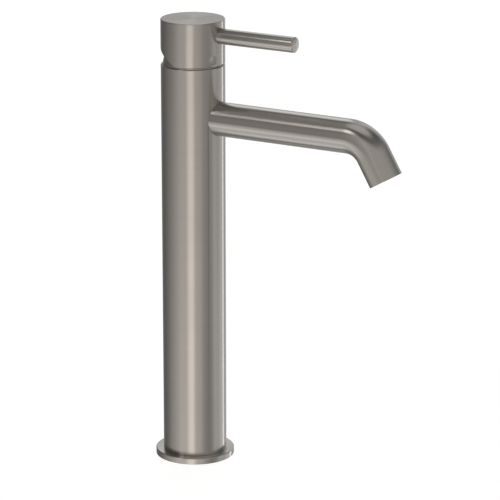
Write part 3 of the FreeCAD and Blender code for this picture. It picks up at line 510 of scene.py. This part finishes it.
def make_button():
    """The small button in the cap's skirt, with a slightly dished face."""
    low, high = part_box("index_button")
    radius = (high.z - low.z) / 2
    inner = radius - BUTTON_RIM_ROUND * 2
    section = [(BUTTON_BACK, 0.0), (BUTTON_BACK, radius)]
    section += round_corner((BUTTON_RIM - BUTTON_RIM_ROUND, radius - BUTTON_RIM_ROUND),
                            BUTTON_RIM_ROUND, 90, 0, RIM_STEPS)
    for step in range(DISH_STEPS + 1):
        share = 1 - step / DISH_STEPS
        section.append((BUTTON_RIM - BUTTON_DISH * (1 - share ** 2), inner * share))
    centre = (0, 0, (low.z + high.z) / 2)
    turned_piece("button_face", section, centre, "handle", "button_metal", "index_button",
                 BUTTON_ANGLE)


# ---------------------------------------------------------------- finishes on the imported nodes


def round_edges(name, node):
    """Fine rounds on a node's edges, as modifiers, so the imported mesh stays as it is."""
    weld = node.modifiers.new("weld", "WELD")
    weld.merge_threshold = WELD_DISTANCE
    bevel = node.modifiers.new("edges", "BEVEL")
    bevel.width = SOFT_BEVEL if name in SOFT_EDGED else EDGE_BEVEL
    bevel.segments = BEVEL_SEGMENTS
    bevel.limit_method = "ANGLE"
    bevel.angle_limit = BEVEL_ANGLE
    normals = node.modifiers.new("normals", "WEIGHTED_NORMAL")
    normals.weight = NORMAL_WEIGHT


def dress_nodes():
    """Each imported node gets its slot's finish and its grain, and the rounded ones their edges."""
    slots = {part["node"]: part["material_slot"] for part in frame["record"]["subparts"]}
    for name, node in frame["nodes"].items():
        mesh = node.data
        mesh.materials.clear()
        mesh.materials.append(finishes[slots[name]])
        mesh.shade_smooth()
        set_grain(mesh, TURNED_ABOUT.get(name, Z), centre_of(name))
        if name in ROUNDED:
            round_edges(name, node)


# ---------------------------------------------------------------- studio


def window(tree, angle, centre, half, soft, wrap=False):
    """One inside centre plus or minus half, falling to nothing over soft; all in degrees."""
    away = math_node(tree, "SUBTRACT", angle, math.radians(centre))
    if wrap:
        around = add(tree, "Math", {0: away, 1: math.pi, 2: -math.pi}, operation="WRAP")
        away = around.outputs[0]
    away = math_node(tree, "ABSOLUTE", away)
    inputs = {"Value": away, "From Min": math.radians(half), "From Max": math.radians(half + soft),
              "To Min": 1.0, "To Max": 0.0}
    faded = add(tree, "MapRange", inputs, interpolation_type="SMOOTHSTEP")
    return faded.outputs["Result"]


def make_world():
    """The metal mirrors the panels, and the camera sees a plain white backdrop."""
    world = bpy.data.worlds.new("studio")
    bpy.context.scene.world = world
    world.use_nodes = True
    tree = world.node_tree
    tree.nodes.clear()
    direction = add(tree, "TexCoord").outputs["Generated"]
    split = add(tree, "SeparateXYZ", {0: direction})
    backward = math_node(tree, "MULTIPLY", split.outputs["Y"], -1.0)
    azimuth = math_node(tree, "ARCTAN2", split.outputs["X"], backward)
    elevation = math_node(tree, "ARCSINE", split.outputs["Z"])
    total = DIM
    for turn, rise, wide, tall, soft_wide, soft_tall, bright, tint in PANELS:
        across = window(tree, azimuth, turn, wide, soft_wide, wrap=True)
        up = window(tree, elevation, rise, tall, soft_tall)
        level = math_node(tree, "MULTIPLY", across, up)
        colour = tuple(part * bright for part in tint)
        light = add(tree, "VectorMath", {0: colour, "Scale": level}, operation="SCALE").outputs[0]
        total = add(tree, "VectorMath", {0: total, 1: light}, operation="ADD").outputs[0]
    studio = add(tree, "Background", {"Color": total})
    backdrop = add(tree, "Background", {"Color": WHITE})
    seen = add(tree, "LightPath").outputs["Is Camera Ray"]
    mixed = add(tree, "MixShader", {0: seen})
    tree.links.new(studio.outputs[0], mixed.inputs[1])
    tree.links.new(backdrop.outputs[0], mixed.inputs[2])
    output = add(tree, "OutputWorld")
    tree.links.new(mixed.outputs[0], output.inputs["Surface"])


def make_floor():
    """A plain pale floor, which the metal doesn't mirror."""
    mesh = bpy.data.meshes.new("floor")
    corners = [(FLOOR_REACH * x, FLOOR_REACH * y, -FLOOR_DROP)
               for x, y in ((-1, -1), (1, -1), (1, 1), (-1, 1))]
    mesh.from_pydata(corners, [], [(0, 1, 2, 3)])
    floor = bpy.data.objects.new("floor", mesh)
    bpy.context.scene.collection.objects.link(floor)
    material, tree, shader = new_material("pale_floor")
    place = add(tree, "TexCoord").outputs["Object"]
    speckle = noise(tree, place, SPECKLE)
    tree.links.new(spread(tree, speckle, *FLOOR_ROUGH), shader.inputs["Roughness"])
    shader.inputs["Base Color"].default_value = FLOOR_GREY
    shader.inputs["Emission Color"].default_value = WHITE
    shader.inputs["Emission Strength"].default_value = FLOOR_GLOW
    mesh.materials.append(material)
    floor.visible_glossy = False


def make_camera():
    data = bpy.data.cameras.new("camera")
    data.lens = CAMERA_LENS
    data.sensor_width = CAMERA_SENSOR
    data.clip_start = CAMERA_NEAR
    data.clip_end = CAMERA_FAR
    camera = bpy.data.objects.new("camera", data)
    camera.location = CAMERA_PLACE
    camera.rotation_euler = [math.radians(angle) for angle in CAMERA_TURN]
    bpy.context.scene.collection.objects.link(camera)
    bpy.context.scene.camera = camera


bpy.context.scene.view_settings.view_transform = "Standard"
dress_nodes()
make_spout()
make_lever()
make_button()
make_world()
make_floor()
make_camera()
